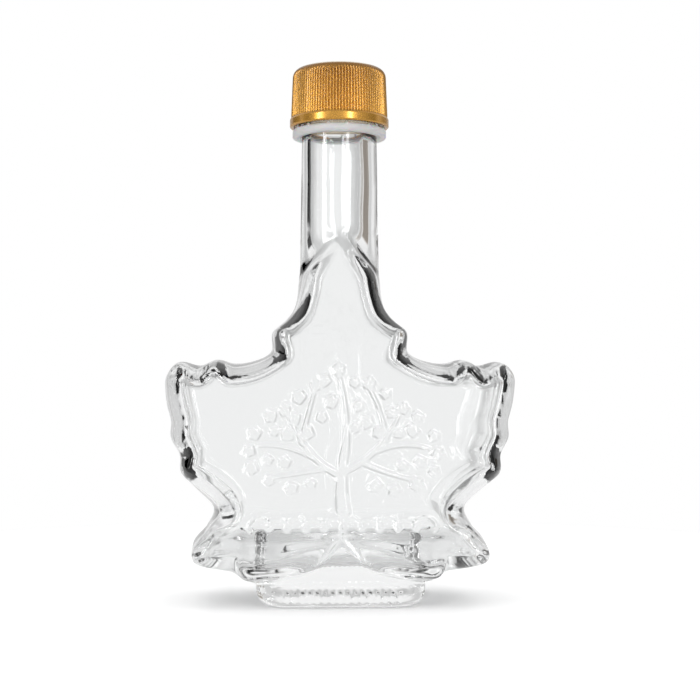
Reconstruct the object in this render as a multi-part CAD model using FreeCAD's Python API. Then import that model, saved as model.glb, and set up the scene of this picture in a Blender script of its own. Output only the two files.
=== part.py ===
import FreeCAD, Part
from collections import namedtuple
import math
import os

# A leaf-shaped bottle of clear glass, with its screw cap and the ring that breaks off the cap.
# Millimetres, +Z up. The origin is the middle of the base, on the table, and the front looks to -Y.

# ---- leaf: its two flat faces ----
FACE_WIDTH = 101.2        # side tip to side tip
FACE_HEIGHT = 100.9       # lower tips to the tip that lies on the neck
FACE_LOW = 15.8           # lower tips over the table
LEAF_DEPTH = 50.0         # front face to back face
TIP_PROUD = 0.9           # how far the leaf's tip stands off the neck

# ---- leaf: its side wall, which falls outwards from each face to the parting line ----
BEVEL_OUT = 0.62          # share of the flare that is reached ...
BEVEL_DEPTH = 0.84        # ... at this share of the half depth

# ---- foot ----
FOOT_WIDTH = 52.8
FOOT_SET_BACK = 2.0       # how far its front and back lie behind the leaf's faces
FOOT_CORNER = 11.0        # plan radius of its corners
FOOT_ROUND = 5.0          # rounding of its lower edge

# ---- neck and finish ----
NECK_LOW_RADIUS = 12.7    # where the neck leaves the leaf's shoulders
NECK_TOP_RADIUS = 11.95   # under the ring
NECK_EMBED = 8.0          # how far the neck starts below the shoulders
BORE_RADIUS = 7.5
LIP_ROUND = 1.2           # rounding of the lip, inside and outside
BORE_EMBED = 16.0         # how far the bore starts below the shoulders, inside the hollow
BEAD_PROUD = 1.35         # bead that keeps the ring on, out from the neck
BEAD_HEIGHT = 1.4
BEAD_SLOPE = 0.9          # height of the slope above the bead
FINISH_PROUD = 0.55       # glass inside the cap, out from the neck
OVERSHOOT = 1.0           # how far the bore's cut runs past the lip

# ---- hollow ----
FACE_WALL = 3.1           # glass between the hollow and a face
SIDE_WALL = 3.5           # glass between the hollow and the parting line
BASE_GLASS = 10.4         # glass under the hollow, over the foot

# ---- cap and ring ----
NECK_SHOWN = 33.9         # neck and ring that show between the leaf's tip and the cap's rim
CAP_HEIGHT = 18.7
CAP_BAND = 2.8            # height of the smooth band at the rim
CAP_RIM_PROUD = 0.4       # that band, out from the gripping side
CAP_WALL = 1.8            # gripping side, just over the band
CAP_TAPER = 0.5           # how much narrower the gripping side is at the top
CAP_ROUND = 2.8
CAP_TOP_WALL = 1.8
RING_GAP = 0.8            # between the ring and the cap
RING_HEIGHT = 2.5
RING_WALL = 1.1
RING_ROOM = 0.55          # between the ring's band and the bead
RING_LEDGE = 0.9          # thickness of the ledge that reaches in to the neck
FIT = 0.3                 # clearance of cap and ring round the glass

# Corners of the leaf on a flat face, right half, from the tip on the neck down to the stem.
#   x, z    hundredths of FACE_WIDTH from the middle, and of FACE_HEIGHT over the lower tips
#   bow     how far the run to the next corner bends outwards on the face, as a share of its length
#   side    the same along the parting line
#   flare   how far the wall falls outwards here, in millimetres
#   hollow  bow of the hollow's run from here, or None where a small tooth is solid glass
Corner = namedtuple("Corner", "name x z bow side flare hollow")
LEAF = [
    Corner("tip", 0.0, 100.0, 0.00, 0.00, 3.0, None),
    Corner("shoulder", 8.5, 85.3, -0.03, -0.03, 4.0, -0.04),
    Corner("collar", 10.8, 74.3, -0.09, -0.09, 4.0, None),
    Corner("top tooth", 18.6, 68.1, 0.00, 0.00, 3.6, None),
    Corner("armpit", 16.5, 60.6, -0.09, -0.07, 4.7, -0.10),
    Corner("upper notch", 34.4, 53.3, 0.00, 0.00, 5.8, 0.00),
    Corner("upper tooth", 38.7, 57.7, 0.00, 0.00, 3.2, None),
    Corner("outer notch", 42.6, 52.6, -0.12, 0.06, 5.2, 0.00),
    Corner("side tip", 49.6, 56.7, 0.00, 0.00, 3.8, 0.03),
    Corner("side crown", 50.0, 54.9, 0.00, 0.00, 5.1, None),
    Corner("side edge", 48.8, 50.1, 0.00, 0.05, 6.2, None),
    Corner("side notch", 46.4, 41.0, 0.00, 0.00, 6.4, 0.00),
    Corner("side tooth", 47.0, 36.8, 0.00, 0.04, 6.9, None),
    Corner("low notch", 44.9, 30.5, 0.00, 0.00, 5.1, -0.12),
    Corner("low tooth", 46.6, 26.4, -0.14, 0.02, 4.1, None),
    Corner("bay", 31.0, 14.1, -0.17, -0.10, 8.0, -0.13),
    Corner("bay tooth", 37.8, 7.2, 0.00, -0.12, 4.2, None),
    Corner("barb", 41.8, 2.1, 0.00, 0.00, 4.7, None),
    Corner("lower tip", 43.4, 0.0, -0.03, 0.05, 4.8, 0.00),
    Corner("lower side", 37.5, 0.8, 0.00, 0.00, 7.4, None),
    Corner("lower step", 33.2, 1.1, 0.00, 0.00, 8.3, None),
    Corner("lower edge", 30.6, 1.2, -0.02, 0.02, 11.5, None),
    Corner("lobe foot", 20.9, 0.7, -0.08, 0.18, 11.6, 0.00),
    Corner("stem lobe", 7.4, 6.2, 0.00, 0.00, 12.0, None),
    Corner("stem", 0.0, 7.1, 0.00, 0.00, 2.0, 0.00),
]
BEND = "armpit"           # above this corner both faces lean back to the neck
FLOOR = ("lobe foot", "stem")     # corners where the hollow goes down to the base glass
STRAIGHT = (0.0, 0.0)     # bows of a run that closes the outline across the middle

# One ring of the side wall: how far corners step out, the share of the flare and of the half depth
# that this is, and the face it belongs to (-1 front, 1 back).
Level = namedtuple("Level", "step out depth face")

TIP_Z = FACE_LOW + FACE_HEIGHT
CAP_LIP_Z = TIP_Z + NECK_SHOWN
LIP_Z = CAP_LIP_Z + CAP_HEIGHT - CAP_TOP_WALL
RING_TOP_Z = CAP_LIP_Z - RING_GAP
RING_LOW_Z = RING_TOP_Z - RING_HEIGHT
BEAD_LOW_Z = RING_LOW_Z + RING_LEDGE + FIT
FOOT_DEPTH = LEAF_DEPTH - 2 * FOOT_SET_BACK
BEAD_RADIUS = NECK_TOP_RADIUS + BEAD_PROUD
FINISH_RADIUS = NECK_TOP_RADIUS + FINISH_PROUD
CAP_ROOM_RADIUS = BEAD_RADIUS + FIT
CAP_LOW_RADIUS = CAP_ROOM_RADIUS + CAP_WALL
CAP_TOP_RADIUS = CAP_LOW_RADIUS - CAP_TAPER
CAP_RIM_RADIUS = CAP_LOW_RADIUS + CAP_RIM_PROUD
RING_ROOM_RADIUS = BEAD_RADIUS + RING_ROOM
RING_RADIUS = RING_ROOM_RADIUS + RING_WALL


def face_point(corner):
    """Place of a corner on the flat face, in millimetres."""
    return corner.x * FACE_WIDTH / 100, FACE_LOW + corner.z * FACE_HEIGHT / 100


SHOULDER_Z = face_point(LEAF[1])[1]


def neck_radius(z):
    """Outer radius of the neck, which tapers evenly from the leaf's shoulders to the ring."""
    share = (z - SHOULDER_Z) / (RING_LOW_Z - SHOULDER_Z)
    return NECK_LOW_RADIUS + (NECK_TOP_RADIUS - NECK_LOW_RADIUS) * share


def half_depth(z, bend_z):
    """Half the leaf's depth: even up to the bend, then leaning back to the neck."""
    tip = neck_radius(TIP_Z) + TIP_PROUD
    share = max(0.0, (z - bend_z) / (TIP_Z - bend_z))
    return LEAF_DEPTH / 2 + (tip - LEAF_DEPTH / 2) * share


def outward(start, end):
    """Unit direction out of the leaf, square to a run that goes clockwise round it."""
    dx, dz = end[0] - start[0], end[1] - start[1]
    return -dz / math.hypot(dx, dz), dx / math.hypot(dx, dz)


def all_round(corners, bows):
    """Corners on both halves in clockwise order, as (side, corner, bows of the run that follows)."""
    last = len(corners) - 1
    right = [(1, c, pair) for c, pair in zip(corners, bows)]
    if corners[last].x == 0:
        right[last] = (1, corners[last], bows[last - 1])
    left = [(-1, corners[k], bows[k - 1] if k else STRAIGHT)
            for k in range(last, -1, -1) if corners[k].x > 0]
    return right + left


def steps_out(outline):
    """Corner places on the face, and the unit direction in which each corner moves outwards."""
    points = [(s * face_point(c)[0], face_point(c)[1]) for s, c, bows in outline]
    ways = []
    for i, point in enumerate(points):
        before = outward(points[i - 1], point)
        after = outward(point, points[(i + 1) % len(points)])
        x, z = before[0] + after[0], before[1] + after[1]
        ways.append((x / math.hypot(x, z), z / math.hypot(x, z)))
    return points, ways


def ring(outline, level, wall, bend_z):
    """Closed ring of lines and arcs at one level of the side wall."""
    points, ways = steps_out(outline)
    moved = []
    for (x, z), (way_x, way_z), (s, corner, bows) in zip(points, ways, outline):
        reach = level.step(corner)
        moved.append((x + reach * way_x, z + reach * way_z))

    def place(x, z):
        return FreeCAD.Vector(x, level.face * level.depth * (half_depth(z, bend_z) - wall), z)

    edges = []
    for i, start in enumerate(moved):
        end = moved[(i + 1) % len(moved)]
        on_face, on_side = outline[i][2]
        bow = (on_face + level.out * (on_side - on_face)) * math.dist(start, end)
        if bow == 0:
            edges.append(Part.LineSegment(place(*start), place(*end)).toShape())
            continue
        way_x, way_z = outward(start, end)
        middle = place((start[0] + end[0]) / 2 + bow * way_x, (start[1] + end[1]) / 2 + bow * way_z)
        edges.append(Part.Arc(place(*start), middle, place(*end)).toShape())
    return edges


def face_over(edges, outline):
    """Two flat pieces that close a face ring, below and above the line where it bends."""
    right, left = [i for i, (s, c, bows) in enumerate(outline) if c.name == BEND]
    across = Part.LineSegment(edges[right].Curve.value(edges[right].FirstParameter),
                              edges[left].Curve.value(edges[left].FirstParameter)).toShape()
    lower = edges[right:left]
    upper = edges[left:] + edges[:right]
    return [Part.Face(Part.Wire(Part.sortEdges(run + [across])[0])) for run in (lower, upper)]


def leaf_between(corners, bows, face_step, girdle_step, wall):
    """Leaf-shaped solid with two flat faces and a bevelled side that is widest half way through."""
    outline = all_round(corners, bows)
    points, ways = steps_out(outline)
    bend = [c.name for s, c, pair in outline].index(BEND)
    bend_z = points[bend][1] + face_step(outline[bend][1]) * ways[bend][1]

    def bevel_step(corner):
        return face_step(corner) + BEVEL_OUT * (girdle_step(corner) - face_step(corner))

    front = [Level(face_step, 0.0, 1.0, -1), Level(bevel_step, BEVEL_OUT, BEVEL_DEPTH, -1)]
    levels = front + [Level(girdle_step, 1.0, 0.0, 1)] + [level._replace(face=1) for level in front[::-1]]
    rings = [ring(outline, level, wall, bend_z) for level in levels]
    skin = face_over(rings[0], outline) + face_over(rings[-1], outline)
    for one, other in zip(rings, rings[1:]):
        skin += [Part.makeRuledSurface(a, b) for a, b in zip(one, other)]
    shell = Part.Shell(skin)
    shell.sewShape()
    solid = Part.Solid(shell)
    if solid.Volume < 0:
        solid.reverse()
    return solid


def outer_leaf():
    """The leaf as it is outside."""
    bows = [(c.bow, c.side) for c in LEAF]
    return leaf_between(LEAF, bows, lambda c: 0.0, lambda c: c.flare, 0.0)


def hollow_leaf():
    """The room inside the leaf: a plainer leaf that keeps a wall everywhere."""
    corners = [c for c in LEAF if c.hollow is not None]

    def girdle_step(corner):
        if corner.name in FLOOR:
            return face_point(corner)[1] - BASE_GLASS
        return corner.flare - SIDE_WALL

    bows = [(c.hollow, c.hollow) for c in corners]
    return leaf_between(corners, bows, lambda c: -FACE_WALL, girdle_step, FACE_WALL)


def turned(profile):
    """Solid of revolution about the bottle's axis, from (radius, height) corners."""
    points = [FreeCAD.Vector(r, 0, z) for r, z in profile]
    face = Part.Face(Part.makePolygon(points + points[:1]))
    return face.revolve(FreeCAD.Vector(), FreeCAD.Vector(0, 0, 1), 360)


def circle_edges(solid, radius, z):
    """The solid's round edges of one radius at one height."""
    return [e for e in solid.Edges if isinstance(e.Curve, Part.Circle)
            and abs(e.Curve.Radius - radius) < 1e-6 and abs(e.Curve.Center.z - z) < 1e-6]


def neck():
    """Neck and finish, solid: taper, bead under the ring, and the straight glass inside the cap."""
    low = SHOULDER_Z - NECK_EMBED
    bead_top = BEAD_LOW_Z + BEAD_HEIGHT
    body = turned([(0, low), (neck_radius(low), low), (NECK_TOP_RADIUS, RING_LOW_Z),
                   (NECK_TOP_RADIUS, BEAD_LOW_Z), (BEAD_RADIUS, BEAD_LOW_Z), (BEAD_RADIUS, bead_top),
                   (FINISH_RADIUS, bead_top + BEAD_SLOPE), (FINISH_RADIUS, LIP_Z), (0, LIP_Z)])
    return body.makeFillet(LIP_ROUND, circle_edges(body, FINISH_RADIUS, LIP_Z))


def foot():
    """Rounded slab that the bottle stands on; it runs up into the leaf under the stem."""
    height = face_point(LEAF[-1])[1]
    slab = Part.makeBox(FOOT_WIDTH, FOOT_DEPTH, height,
                        FreeCAD.Vector(-FOOT_WIDTH / 2, -FOOT_DEPTH / 2, 0))
    upright = [e for e in slab.Edges if abs(e.Vertexes[0].Z - e.Vertexes[1].Z) > height / 2]
    slab = slab.makeFillet(FOOT_CORNER, upright)
    under = [e for e in slab.Edges if e.BoundBox.ZMax < 1e-6]
    return slab.makeFillet(FOOT_ROUND, under)


def bottle():
    """Glass, one piece: leaf, neck and foot, less the room inside and the bore."""
    glass = outer_leaf().fuse([neck(), foot()])
    bore_low = SHOULDER_Z - BORE_EMBED
    bore = Part.makeCylinder(BORE_RADIUS, LIP_Z + OVERSHOOT - bore_low, FreeCAD.Vector(0, 0, bore_low))
    glass = glass.cut(hollow_leaf().fuse(bore)).removeSplitter()
    return glass.makeFillet(LIP_ROUND, circle_edges(glass, BORE_RADIUS, LIP_Z))


def cap():
    """Screw cap: smooth band at the rim, slightly tapered side, rounded top edge, room for the finish."""
    top = CAP_LIP_Z + CAP_HEIGHT
    band = CAP_LIP_Z + CAP_BAND
    body = turned([(0, CAP_LIP_Z), (CAP_RIM_RADIUS, CAP_LIP_Z), (CAP_RIM_RADIUS, band),
                   (CAP_LOW_RADIUS, band), (CAP_TOP_RADIUS, top), (0, top)])
    body = body.makeFillet(CAP_ROUND, circle_edges(body, CAP_TOP_RADIUS, top))
    room = Part.makeCylinder(CAP_ROOM_RADIUS, LIP_Z - CAP_LIP_Z, FreeCAD.Vector(0, 0, CAP_LIP_Z))
    return body.cut(room)


def tamper_ring():
    """Ring left round the neck: a thin band with a ledge that reaches in under the bead."""
    reach = NECK_TOP_RADIUS + FIT
    return turned([(reach, RING_LOW_Z), (RING_RADIUS, RING_LOW_Z), (RING_RADIUS, RING_TOP_Z),
                   (RING_ROOM_RADIUS, RING_TOP_Z), (RING_ROOM_RADIUS, RING_LOW_Z + RING_LEDGE),
                   (reach, RING_LOW_Z + RING_LEDGE)])


os.makedirs("parts", exist_ok=True)
for node, shape in (("bottle", bottle()), ("cap", cap()), ("ring", tamper_ring())):
    box = shape.BoundBox
    print(node, "solids", len(shape.Solids), "valid", shape.isValid(), "volume", round(shape.Volume),
          "x %.2f %.2f y %.2f %.2f z %.2f %.2f" % (box.XMin, box.XMax, box.YMin, box.YMax,
                                                   box.ZMin, box.ZMax))
    shape.exportStep("parts/%s.step" % node)
print("room inside, millilitres:", round(hollow_leaf().Volume / 1000))
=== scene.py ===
# %% [markdown]
# # A leaf-shaped bottle of clear glass
# The bottle stands on a slab foot and carries a gold screw cap, with a pale tamper ring loose on
# the neck under it. The CAD frame gives every place and size. Glass shows all of its surfaces at
# once, the far ones through the near ones, so most of the work is in one clean skin of glass.

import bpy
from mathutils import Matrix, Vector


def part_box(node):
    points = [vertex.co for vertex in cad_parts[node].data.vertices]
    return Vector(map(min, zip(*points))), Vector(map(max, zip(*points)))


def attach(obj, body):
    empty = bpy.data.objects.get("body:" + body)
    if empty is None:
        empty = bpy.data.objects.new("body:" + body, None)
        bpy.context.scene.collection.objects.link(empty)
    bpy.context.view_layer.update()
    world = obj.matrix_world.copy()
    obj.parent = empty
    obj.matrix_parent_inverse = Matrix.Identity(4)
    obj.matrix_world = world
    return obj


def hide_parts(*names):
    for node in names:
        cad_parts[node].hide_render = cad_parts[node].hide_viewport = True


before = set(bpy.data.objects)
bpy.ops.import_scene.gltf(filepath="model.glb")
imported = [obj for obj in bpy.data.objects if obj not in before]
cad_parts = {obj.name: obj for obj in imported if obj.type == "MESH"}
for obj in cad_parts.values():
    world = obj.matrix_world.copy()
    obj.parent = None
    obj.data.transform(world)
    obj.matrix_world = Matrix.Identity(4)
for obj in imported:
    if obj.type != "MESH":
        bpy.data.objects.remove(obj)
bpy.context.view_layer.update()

# %% [markdown]
# ## Sizes
# The numbers below are in millimetres, the unit a mould maker would use. The heights of neck, cap
# and ring, and the radii of cap and ring, come from the boxes of the CAD nodes, so these can't drift
# away from the solids.

# %% Sizes from the frame
import math

import bpy
import numpy as np
from mathutils import Vector

MM = 0.001


def box_mm(node):
    """Lowest and highest corner of a CAD node, in millimetres."""
    low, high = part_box(node)
    return np.array(low) / MM, np.array(high) / MM


BOTTLE_HIGH = box_mm("bottle")[1]
CAP_LOW, CAP_HIGH = box_mm("cap")
RING_LOW, RING_HIGH = box_mm("ring")
LIP_Z = BOTTLE_HIGH[2]
CAP_RADIUS = CAP_HIGH[0]
RING_RADIUS = RING_HIGH[0]
HALF_DEPTH = BOTTLE_HIGH[1]
FACE_WIDTH = 1.817 * BOTTLE_HIGH[0]      # side tip to side tip on the flat face
FACE_LOW = 15.8                          # lower tips over the table
FACE_HEIGHT = 100.9                      # lower tips to the tip on the neck
print("lip", LIP_Z, "cap radius", CAP_RADIUS, "half depth", HALF_DEPTH, "face width", FACE_WIDTH)

# %% [markdown]
# ## The leaf's outline
# A mould maker draws the leaf as a list of corners with a curve between each pair. Here a corner
# holds its place on the flat face, how far the curve to the next one bows outwards, the same for
# the parting line half way through the bottle, and how far the wall falls outwards between them.
# Only the right half is listed: the left is its mirror image.

# %% Corners of the leaf
LEAF = [
    # name, x and z in hundredths of the face, bow on the face, bow on the parting line, flare
    ("tip", 0.0, 100.0, 0.00, 0.00, 3.0),
    ("shoulder", 8.5, 85.3, -0.03, -0.03, 4.0),
    ("collar", 10.8, 74.3, -0.09, -0.09, 4.0),
    ("top tooth", 18.6, 68.1, 0.00, 0.00, 3.6),
    ("armpit", 16.5, 60.6, -0.09, -0.07, 4.7),
    ("upper notch", 34.4, 53.3, 0.00, 0.00, 5.8),
    ("upper tooth", 38.7, 57.7, 0.00, 0.00, 3.2),
    ("outer notch", 42.6, 52.6, -0.12, 0.06, 5.2),
    ("side tip", 49.6, 56.7, 0.00, 0.00, 3.8),
    ("side crown", 50.0, 54.9, 0.00, 0.00, 5.1),
    ("side edge", 48.8, 50.1, 0.00, 0.05, 6.2),
    ("side notch", 46.4, 41.0, 0.00, 0.00, 6.4),
    ("side tooth", 47.0, 36.8, 0.00, 0.04, 6.9),
    ("low notch", 44.9, 30.5, 0.00, 0.00, 5.1),
    ("low tooth", 46.6, 26.4, -0.14, 0.02, 4.1),
    ("bay", 31.0, 14.1, -0.17, -0.10, 8.0),
    ("bay tooth", 37.8, 7.2, 0.00, -0.12, 4.2),
    ("barb", 41.8, 2.1, 0.00, 0.00, 4.7),
    ("lower tip", 43.4, 0.0, -0.03, 0.05, 4.8),
    ("lower side", 37.5, 0.8, 0.00, 0.00, 7.4),
    ("lower step", 33.2, 1.1, 0.00, 0.00, 8.3),
    ("lower edge", 30.6, 1.2, -0.02, 0.02, 11.5),
    ("lobe foot", 20.9, 0.7, -0.08, 0.18, 11.6),
    ("stem lobe", 7.4, 6.2, 0.00, 0.00, 12.0),
    ("stem", 0.0, 7.1, 0.00, 0.00, 2.0),
]
NAME, ACROSS, UP, FACE_BOW, SIDE_BOW, FLARE = range(6)     # columns of the list
print("corners on the right half", len(LEAF))

# %% Lines through the corners
RUN_STEPS = 10                           # points on each run between two corners


def both_halves(rows):
    """Corner places (mm) clockwise from the tip, the row of each, and the row of its run's bow."""
    last = len(rows) - 1
    order = np.array(list(range(last + 1)) + list(range(last - 1, 0, -1)))
    side = np.where(np.arange(len(order)) <= last, 1.0, -1.0)
    bow_row = np.where(side > 0, np.minimum(order, last - 1), order - 1)
    x = np.array([row[ACROSS] for row in rows])[order] * side * FACE_WIDTH / 100
    z = FACE_LOW + np.array([row[UP] for row in rows])[order] * FACE_HEIGHT / 100
    return np.stack([x, z], 1), order, bow_row


def normals_of(runs):
    """Unit direction out of the leaf for runs taken clockwise: the run turned a quarter turn."""
    out = np.stack([-runs[:, 1], runs[:, 0]], 1)
    return out / np.hypot(out[:, :1], out[:, 1:])


def outline(rows, steps, bows):
    """Closed line of points: corners moved out along the bisector of their two runs, and between
    them chord(t) + 4 t (1 - t) bow * length * outward, which is a shallow arc."""
    places, order, bow_row = both_halves(rows)
    outward = normals_of(np.roll(places, -1, 0) - places)
    ways = outward + np.roll(outward, 1, 0)
    ways /= np.hypot(ways[:, :1], ways[:, 1:])
    start = places + np.asarray(steps)[order][:, None] * ways
    run = np.roll(start, -1, 0) - start
    t = (np.arange(RUN_STEPS) / RUN_STEPS)[None, :, None]
    rise = np.asarray(bows)[bow_row][:, None, None] * np.hypot(run[:, :1], run[:, 1:])[:, None]
    points = start[:, None] + t * run[:, None] + 4 * t * (1 - t) * rise * normals_of(run)[:, None]
    return points.reshape(-1, 2)


FACE_LINE = outline(LEAF, np.zeros(len(LEAF)), [row[FACE_BOW] for row in LEAF])
PARTING_LINE = outline(LEAF, [row[FLARE] for row in LEAF], [row[SIDE_BOW] for row in LEAF])
print("leaf reaches x", PARTING_LINE[:, 0].max().round(2), "z", PARTING_LINE[:, 1].min().round(2))

# %% Lines of the hollow
FACE_FLOOR, BASE_GLASS = 14.5, 10.4      # height of the hollow's floor at the faces, and midway
FACE_WALL, SIDE_WALL = 2.7, 3.0          # glass between hollow and face, hollow and parting line
FACE_INSET = 0.5                         # the hollow's flat stops this far inside the face's line
OVER_FOOT = ("lobe foot", "stem")        # corners that the hollow has on its floor
ROOM = [row for row in LEAF if row[NAME] != "stem lobe"]


def room_line(floor_z, steps, bow):
    """The leaf's line moved by a step at each corner, but along the floor over the foot."""
    moves = [FACE_LOW + row[UP] * FACE_HEIGHT / 100 - floor_z if row[NAME] in OVER_FOOT else step
             for row, step in zip(ROOM, steps)]
    return outline(ROOM, moves, [0.0 if row[NAME] in OVER_FOOT else row[bow] for row in ROOM])


ROOM_FACE_LINE = room_line(FACE_FLOOR, [-FACE_INSET for row in ROOM], FACE_BOW)
ROOM_SIDE_LINE = room_line(BASE_GLASS, [row[FLARE] - SIDE_WALL for row in ROOM], SIDE_BOW)
print("hollow reaches x", ROOM_SIDE_LINE[:, 0].max().round(2))

# %% [markdown]
# ## How the glass is made: a field in space
# Leaf, neck, foot and the room inside melt into each other, as hot glass does, and no single grid
# of rows and columns can run over such a branching skin. They could be joined with booleans, but
# those leave hard seams that glass shows from both sides. So the glass is made another way: every
# point in space gets one number, below zero inside the glass, and the skin is where the number is
# zero. Joining two shapes is then a soft minimum, hollowing one out is a soft maximum, and a relief
# is a small shift.

# %% Soft joins
def soft_max(a, b, round_mm):
    """The larger of two fields, rounded over where they are within round_mm of each other."""
    overlap = np.maximum(round_mm - np.abs(a - b), 0) / round_mm
    return np.maximum(a, b) + overlap ** 2 * round_mm / 4


def soft_min(a, b, round_mm):
    """The smaller of two fields, with a fillet of about round_mm."""
    return -soft_max(-a, -b, round_mm)


print("a 2 mm fillet adds", soft_max(0.0, 0.0, 2.0), "mm of glass in the corner")

# %% Distance to a line
def off_segment(x, z, start, end):
    """Share of the way along a segment that lies nearest to each point, and how far the point lies
    from there in x and in z."""
    (ax, az), (bx, bz) = start, end
    dx, dz = bx - ax, bz - az
    t = np.clip(((x - ax) * dx + (z - az) * dz) / (dx * dx + dz * dz), 0, 1)
    return t, x - ax - t * dx, z - az - t * dz


def distance_to_line(x, z, line):
    """Distance in the (x, z) plane to a closed line, below zero inside it: least distance to any
    segment, with the sign from how often a ray to the right crosses the line."""
    best = np.full(x.shape, np.inf, np.float32)
    inside = np.zeros(x.shape, bool)
    for (ax, az), (bx, bz) in zip(line, np.roll(line, -1, 0)):
        _, off_x, off_z = off_segment(x, z, (ax, az), (bx, bz))
        best = np.minimum(best, off_x ** 2 + off_z ** 2)
        if az != bz:
            inside ^= ((az > z) != (bz > z)) & (x < ax + (z - az) * (bx - ax) / (bz - az))
    return np.where(inside, -1, 1) * np.sqrt(best)


middle = np.zeros(1), np.full(1, FACE_LOW + FACE_HEIGHT / 2)
print("middle of the leaf to its outline", distance_to_line(*middle, FACE_LINE).round(2))

# %% The grid of points
FINE, COARSE = 0.5, 0.9                  # spacing over the relief, and elsewhere
MARGIN = 2.5                             # room round the bottle
RELIEF_HALF, RELIEF_LOW, RELIEF_TOP = 35.0, 22.0, 86.0     # the relief lies inside these
RELIEF_BAND = 1.0                        # and within this of the front face


def spaced(low, high, fine_low, fine_high):
    """Coordinates from low to high, close together between fine_low and fine_high."""
    parts = [np.arange(low, fine_low, COARSE), np.arange(fine_low, fine_high, FINE),
             np.arange(fine_high, high + COARSE, COARSE)]
    return np.concatenate(parts).astype(np.float32)


GX = spaced(-BOTTLE_HIGH[0] - MARGIN, BOTTLE_HIGH[0] + MARGIN, -RELIEF_HALF, RELIEF_HALF)
GY = spaced(-HALF_DEPTH - MARGIN, HALF_DEPTH + MARGIN,
            -HALF_DEPTH - RELIEF_BAND, -HALF_DEPTH + RELIEF_BAND)
GZ = spaced(-MARGIN, LIP_Z + MARGIN, RELIEF_LOW, RELIEF_TOP)
X2, Z2 = np.meshgrid(GX, GZ, indexing="ij")
print("grid", len(GX), len(GY), len(GZ))

# %% Distances on the grid, with their corners rounded
FACE_BLUR, ROOM_BLUR, SIDE_BLUR = 0.4, 0.6, 1.6


def blurred(field, radius):
    """The field averaged over a soft disc, which rounds the corners of its zero line."""
    def weights(c):
        w = np.exp(-0.5 * ((c[:, None] - c[None, :]) / radius) ** 2) * np.gradient(c)[None, :]
        return (w / w.sum(1, keepdims=True)).astype(np.float32)
    return weights(GX) @ field @ weights(GZ).T


FACE_D = blurred(distance_to_line(X2, Z2, FACE_LINE), FACE_BLUR)
PARTING_D = blurred(distance_to_line(X2, Z2, PARTING_LINE), SIDE_BLUR)
INNER_FACE_D = blurred(distance_to_line(X2, Z2, ROOM_FACE_LINE), ROOM_BLUR)
INNER_PARTING_D = blurred(distance_to_line(X2, Z2, ROOM_SIDE_LINE), SIDE_BLUR)
print("deepest inside the face's outline", float(FACE_D.min().round(2)))

# %% [markdown]
# ## The relief on the front
# A spreading tree stands proud of the front face, over a line of running loops. It could be bump
# in the material, but glass bends light at the relief's real slopes, so it has to be shape. Each
# branch is a curve with a width that shrinks along it, and its height is a ridge over the distance
# to that curve. Leaves are one shape, turned and sized a little differently at each place.

# %% Branches and leaves
TREE = [
    # start, bend, end (mm on the face), width at start and end
    ((0.2, 30.0), (-1.0, 38.0), (0.6, 48.0), 4.4, 2.8),
    ((0.6, 47.0), (2.2, 58.0), (-1.0, 71.0), 2.8, 1.2),
    ((-0.6, 41.0), (-10.5, 45.0), (-16.0, 58.5), 2.6, 1.3),
    ((-9.0, 46.6), (-18.0, 51.0), (-25.5, 50.0), 2.0, 1.1),
    ((-4.5, 43.2), (-12.0, 41.8), (-20.5, 40.5), 2.0, 1.1),
    ((-12.6, 50.8), (-10.6, 59.0), (-8.6, 66.0), 1.7, 1.1),
    ((1.0, 42.5), (11.0, 46.5), (17.0, 59.0), 2.6, 1.3),
    ((10.6, 48.4), (18.0, 51.6), (26.5, 49.0), 2.0, 1.1),
    ((6.2, 44.8), (13.0, 41.6), (21.0, 39.6), 2.0, 1.1),
    ((13.4, 51.6), (12.2, 60.0), (8.6, 66.5), 1.7, 1.1),
]
CANOPY = [
    # leaves: place on the face and the direction of the tip, in degrees
    (-1.2, 73.0, 95), (-5.4, 69.6, 130), (3.6, 69.0, 60), (-3.2, 63.2, 150), (4.6, 62.0, 30),
    (-8.2, 68.0, 100), (-13.0, 64.6, 140), (-6.4, 58.4, 60), (-14.4, 58.2, 165), (8.0, 68.6, 80),
    (12.8, 65.6, 40), (7.4, 57.0, 120), (14.4, 60.0, 15), (-17.4, 60.4, 110), (-21.6, 59.0, 165),
    (-20.4, 54.4, 140), (-26.4, 53.6, 150), (-28.0, 48.6, 190), (-22.6, 45.8, 230),
    (-16.6, 53.2, 95), (-22.0, 39.6, 190), (-17.6, 44.8, 80), (-15.4, 37.4, 250),
    (-9.6, 38.6, 240), (-27.4, 43.4, 200),
    (18.2, 61.0, 70), (22.4, 58.6, 20), (21.0, 54.6, 50), (27.6, 52.8, 30), (28.6, 47.6, -15),
    (23.2, 45.2, -40), (16.8, 53.6, 85), (22.2, 38.4, -20), (18.0, 43.8, 90), (15.6, 36.6, -70),
    (9.8, 38.0, -60), (27.4, 42.4, -20), (-10.4, 54.0, 200), (10.6, 54.2, -20), (3.6, 55.4, 40),
]
print("branches", len(TREE), "leaves", len(CANOPY))

# %% Height of a branch
EDGE = 0.85                              # width of a relief's sloping sides
CROWN = 0.25                             # share by which a ridge is lower at its sides
BRANCH_STEPS = 24                        # segments along a branch
BRANCH_EXTRA = 0.3                       # added to a branch's half width for its slope


def smooth(share):
    """Soft step 3 s^2 - 2 s^3."""
    return share * share * (3 - 2 * share)


def ridge(d, half_width):
    """Height from 0 to 1 over the distance d to a line: a nearly flat top and steep soft sides."""
    share = np.clip((half_width - d) / EDGE, 0, 1)
    return smooth(share) * (1 - CROWN * np.clip(d / half_width, 0, 1) ** 2)


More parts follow.
